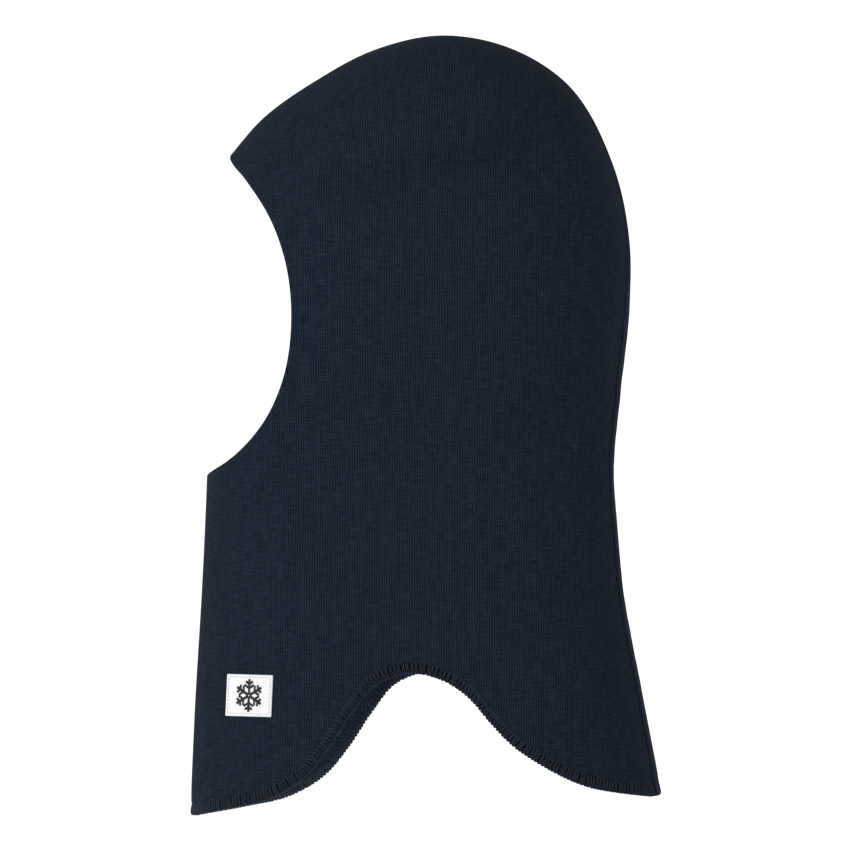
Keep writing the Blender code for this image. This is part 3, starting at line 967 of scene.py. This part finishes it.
def seamRun(seam, depthOut, depthIn):
    s = seamStitch
    low, high = (np.mean([upAt(side, seam, edge, s["endInset"]) for side in (1, -1)]) for edge in (0, 1))
    fine = np.linspace(low, high, s["samples"])
    length = runLengths(seamPoint(seam, fine))
    count = round(length[-1] / s["pitch"])
    between = (depthOut + depthIn) / 2
    # place along the stitch in pitches, depth
    profile = [(0.0, depthIn), (0.14, between), (0.3, depthOut), (0.7, depthOut), (0.86, between)]
    stops = np.array([(i + k) / count for i in range(count) for k, _ in profile]) * length[-1]
    deep = np.array([d for _ in range(count) for _, d in profile])
    return seamPoint(seam, np.interp(stops, length, fine), deep)


innerFace = layers["outer"] + layers["gap"] + layers["lining"]
for name, seam in (("back", 1.0), ("chin", 0.0)):
    outerRun = seamRun(seam, layers["outer"] * seamStitch["bite"], layers["outer"] + seamStitch["backDepth"])
    liningRun = seamRun(seam, innerFace + seamStitch["liningDepth"], innerFace - layers["lining"])
    finishPiece(threadCurve(f"outer_{name}_stitches", [outerRun], seamStitch["radius"]), seamThread,
                [f"outer_{name}_seam_thread"])
    finishPiece(threadCurve(f"lining_{name}_stitches", [liningRun], seamStitch["radius"]), seamThread,
                [f"lining_{name}_seam_thread"])

# the face seam, where the turned-in edge meets the lining
faceSeam = {
    "inset": 0.0073,
    "pitch": 0.0030,
    "radius": 0.00022,
    "depthIn": 0.0024,
    "depthOut": 0.0036,
    "slant": 0.0008,  # how far each end of a stitch leaves the line, over 0.3
}


def faceStitches():
    f = faceSeam
    # place along the stitch in pitches, depth, slant
    profile = [(0.0, f["depthIn"], 0), (0.2, f["depthOut"], -0.3), (0.5, f["depthOut"], 0.0),
               (0.8, f["depthOut"], 0.3)]
    runs = []
    fine = np.linspace(0, 1, stitchSamples)
    for side in (1, -1):
        length = runLengths(edgePoint(side, fine, 1, f["inset"], f["depthOut"]))
        count = round(length[-1] / f["pitch"])
        stops = np.array([(i + k[0]) / count for i in range(count) for k in profile]) * length[-1]
        deep = np.array([k[1] for _ in range(count) for k in profile])
        inset = f["inset"] + f["slant"] * np.array([k[2] for _ in range(count) for k in profile])
        run = edgePoint(side, np.interp(stops, length, fine), 1, inset, deep)
        runs.append(run if side > 0 else run[::-1])
    return threadCurve("face_seam_stitches", [np.concatenate(runs)], f["radius"], closed=True)


finishPiece(faceStitches(), seamThread, ["face_seam_thread"])

# the patch on the bib's left: woven cloth with folded edges, stitched round, with a snowflake
def patchPoint(right, up, height):
    # right and up from the patch's middle along the cloth, this far off the cloth
    right, up, height = np.broadcast_arrays(*(np.asarray(v, float) for v in (right, up, height)))
    y0, z0 = patch["centre"]
    step = 1e-4
    right = right + patch["lean"] * up
    ahead, behind = (garmentPoint(np.array(y0 + move), np.array(z0), 1) for move in (step, -step))
    level = unit(ahead - behind)
    turn = patch["tilt"]
    y = y0 + (right * math.cos(turn) - up * math.sin(turn)) * level[1]
    z = z0 + right * math.sin(turn) + up * math.cos(turn)
    slopeY = garmentPoint(y + step, z, 1) - garmentPoint(y - step, z, 1)
    slopeZ = garmentPoint(y, z + step, 1) - garmentPoint(y, z - step, 1)
    return garmentPoint(y, z, 1) + height[..., None] * unit(np.cross(slopeY, slopeZ))


def patchSheet():
    p = patch
    column, row = np.meshgrid(np.linspace(-1, 1, p["columns"] + 1), np.linspace(-1, 1, p["rows"] + 1))
    right, up = column * p["width"] / 2, row * p["height"] / 2
    # square to slightly rounded corners
    overRight = np.maximum(np.abs(right) - (p["width"] / 2 - p["corner"]), 0)
    overUp = np.maximum(np.abs(up) - (p["height"] / 2 - p["corner"]), 0)
    both = np.hypot(overRight, overUp)
    pull = np.where(both > p["corner"], p["corner"] / np.maximum(both, 1e-9), 1)
    right = np.where(pull < 1, np.sign(right) * (p["width"] / 2 - p["corner"] + overRight * pull), right)
    up = np.where(pull < 1, np.sign(up) * (p["height"] / 2 - p["corner"] + overUp * pull), up)
    fromEdge = np.minimum(p["width"] / 2 - np.abs(right), p["height"] / 2 - np.abs(up))
    height = p["foldRise"] * smoothStep((p["foldWidth"] - fromEdge) / p["foldBlend"])
    height += p["lift"] + p["thickness"]
    height -= p["edgeDrop"] * smoothStep((p["edgeRound"] - fromEdge) / p["edgeRound"])
    height -= p["stitchDip"] * np.exp(-((fromEdge - p["stitchInset"]) / p["stitchDipReach"]) ** 2)
    uv = np.stack([right, up], axis=-1)
    return addWall(gridSheet("woven_patch", patchPoint(right, up, height), uv), p["thickness"])


def patchStitches():
    p = patch
    halfWide, halfHigh = p["width"] / 2 - p["stitchInset"], p["height"] / 2 - p["stitchInset"]
    top = p["lift"] + p["thickness"]
    places, heights = np.array(p["stitchProfile"]).T
    runs = []
    corners = [(-1, -1), (1, -1), (1, 1), (-1, 1)]
    for start, end in zip(corners, corners[1:] + corners[:1]):
        a = np.array([start[0] * halfWide, start[1] * halfHigh])
        b = np.array([end[0] * halfWide, end[1] * halfHigh])
        count = round(np.linalg.norm(b - a) / p["stitchPitch"])
        for i in range(count):
            share = (places * p["stitchLength"] / p["stitchPitch"] + i + 0.5) / count
            place = a + (b - a) * share[:, None]
            runs.append(patchPoint(place[:, 0], place[:, 1], top + heights))
    return threadCurve("patch_stitches", runs, p["stitchRadius"])


flake = {
    "arm": 0.0074,
    "start": 0.0005,  # the arms start this far from the middle
    "width": 0.00125,
    "barbs": ((0.46, 0.0028), (0.72, 0.0021)),  # place along the arm, length
    "barbWidth": 0.85,
    "pitch": 0.00030,
    "radius": 0.00016,
    # one thread: place across the bar in widths, height over the cloth
    "profile": ((-0.5, -0.0001), (-0.25, 0.00014), (0.25, 0.00014), (0.5, -0.0001)),
}


def satinBar(start, end, width):
    # threads laid side by side across a bar
    start, end = np.array(start), np.array(end)
    along = unit(end - start)
    across = np.array([-along[1], along[0]])
    count = max(2, round(np.linalg.norm(end - start) / flake["pitch"]))
    top = patch["lift"] + patch["thickness"]
    points, heights = [], []
    for i in range(count + 1):
        middle = start + (end - start) * i / count
        side = 1 if i % 2 else -1
        for k, rise in flake["profile"]:
            points.append(middle + across * width * k * side)
            heights.append(top + rise)
    points = np.array(points)
    return patchPoint(points[:, 0], points[:, 1], np.array(heights))


def snowflake():
    runs = []
    for i in range(6):
        turn = math.pi / 6 + i * math.pi / 3
        out = np.array([math.cos(turn), math.sin(turn)])
        runs.append(satinBar(out * flake["start"], out * flake["arm"], flake["width"]))
        for share, length in flake["barbs"]:
            root = out * flake["arm"] * share
            for lean in (-1, 1):
                angle = turn + lean * math.pi / 3
                tip = root + length * np.array([math.cos(angle), math.sin(angle)])
                runs.append(satinBar(root, tip, flake["width"] * flake["barbWidth"]))
    return threadCurve("snowflake_stitches", runs, flake["radius"])


patchPiece = patchSheet()
finishPiece(patchPiece, patchCloth, ["brand_patch"])
stitchPiece = finishPiece(patchStitches(), patchThread, ["patch_stitching"])
flakePiece = finishPiece(snowflake(), charcoalThread)

# the care label: blank folded tape, caught in the lining's back seam
label = {
    "top": -0.030,
    "width": 0.020,
    "length": 0.034,
    "thickness": 0.00035,
    "columns": 20,
    "rows": 60,
    "gap": 0.0009,
    "fold": 0.0006,  # half the space between the two layers
    "foldFrom": 0.97,  # share of the run where the fold starts
    "flare": 0.0020,
    "sway": 0.0008,
    "openBy": 12,  # the layers part over a twelfth of the run
    "closed": 0.25,
}


def careLabel():
    power = garment["sectionPower"]
    seamX = halfWidth(label["top"]) * math.sin(seamDrift(label["top"])) ** (2 / power)
    right = np.linspace(-0.5, 0.5, label["columns"] + 1)[None, :] * label["width"]
    run = np.linspace(0, 1, label["rows"] + 1)[:, None]
    # down the front layer, round the fold and up the back layer
    down = 1 - np.abs(2 * run - 1)
    foldFrom = label["foldFrom"]
    z = label["top"] - label["length"] * np.minimum(down / foldFrom, 1) + 0 * right
    x = seamX + right + 0 * run
    back = np.interp(z, backRise[:, 1], backRise[:, 0])
    y = back * (1 - np.abs(x / halfWidth(z)) ** power) ** (1 / power)
    layerSide = np.where(run < 0.5, 1, -1)
    intoFold = np.clip(down / foldFrom - foldFrom, 0, 1) / (1 - foldFrom)
    opening = label["fold"] * np.sqrt(np.clip(1 - intoFold, 0, 1))
    opening = opening * np.clip(down * label["openBy"], label["closed"], 1)
    depth = innerFace + label["gap"] + label["fold"] + layerSide * opening + label["flare"] * down ** 2
    sway = label["sway"] * np.sin(right / label["width"] * math.pi) * down ** 2
    points = np.stack([x, y - depth - sway, z], axis=-1)
    uv = np.stack([right + 0 * run, label["length"] * 2 * run + 0 * right], axis=-1)
    return addWall(gridSheet("blank_care_label", points, uv, flip=True), label["thickness"], 0)


labelPiece = finishPiece(careLabel(), tapeCloth, ["care_label"])


# camera, floor and light
view = {
    "azimuth": 94.5,
    "lens": 1500,
    "width": 0.3933,  # of the frame, at the object
    "floorDrop": 0.25,
    "floorRadius": 12.0,
    "aimRight": 0.0021,  # from the middle of the garment, in the picture
    "aimUp": -0.0597,
    "skyStrength": 1.15,
    "ceilingStrength": 0.40,
    "ceilingRamp": (0.25, 0.9),  # heights on the sky between which it dims
    "floorColour": (0.95, 0.95, 0.95),
    "floorRoughness": 0.9,
    "farthest": 100,  # that the camera sees
    "keyPower": 44,
    "keySize": 1.5,
    "keyPlace": (2.3, -1.93, 0.35),
}


def buildStage():
    scene = bpy.context.scene
    scene.view_settings.view_transform = "Standard"
    camera = bpy.data.objects.new("camera", bpy.data.cameras.new("camera"))
    scene.collection.objects.link(camera)
    scene.camera = camera
    camera.data.lens = view["lens"]
    camera.data.clip_end = view["farthest"]
    distance = view["width"] * view["lens"] / camera.data.sensor_width
    angle = math.radians(view["azimuth"])
    back = Vector((math.sin(angle), -math.cos(angle), 0))
    right = Vector((back.y * -1, back.x, 0))
    camera.location = right * view["aimRight"] + Vector((0, 0, view["aimUp"])) + back * distance
    camera.rotation_euler = (-back).to_track_quat("-Z", "Y").to_euler()

    bm = bmesh.new()
    bmesh.ops.create_circle(bm, cap_ends=True, segments=64, radius=view["floorRadius"])
    bmesh.ops.translate(bm, verts=bm.verts, vec=(0, 0, cadLow.z - view["floorDrop"]))
    mesh = bpy.data.meshes.new("floor")
    bm.to_mesh(mesh)
    bm.free()
    floor = newObject("floor", mesh)
    mesh.materials.append(newMaterial("floorWhite", view["floorColour"], view["floorRoughness"])[0])

    world = bpy.data.worlds.new("studio")
    scene.world = world
    world.use_nodes = True
    tree = world.node_tree
    background = tree.nodes["Background"]
    background.inputs["Color"].default_value = (1, 1, 1, 1)
    # the studio's ceiling is dimmer than its walls
    sky = addNode(tree, "ShaderNodeTexCoord").outputs["Generated"]
    height = addNode(tree, "ShaderNodeSeparateXYZ", {0: sky}).outputs[2]
    start, end = view["ceilingRamp"]
    ramp = {"Value": height, "From Min": start, "From Max": end, "To Min": view["skyStrength"],
            "To Max": view["ceilingStrength"]}
    dimming = addNode(tree, "ShaderNodeMapRange", ramp).outputs["Result"]
    tree.links.new(dimming, background.inputs["Strength"])

    lamp = bpy.data.objects.new("key", bpy.data.lights.new("key", "AREA"))
    lamp.data.energy = view["keyPower"]
    lamp.data.size = view["keySize"]
    lamp.location = view["keyPlace"]
    lamp.rotation_euler = (-lamp.location).to_track_quat("-Z", "Y").to_euler()
    scene.collection.objects.link(lamp)
    print("stage ready")


buildStage()
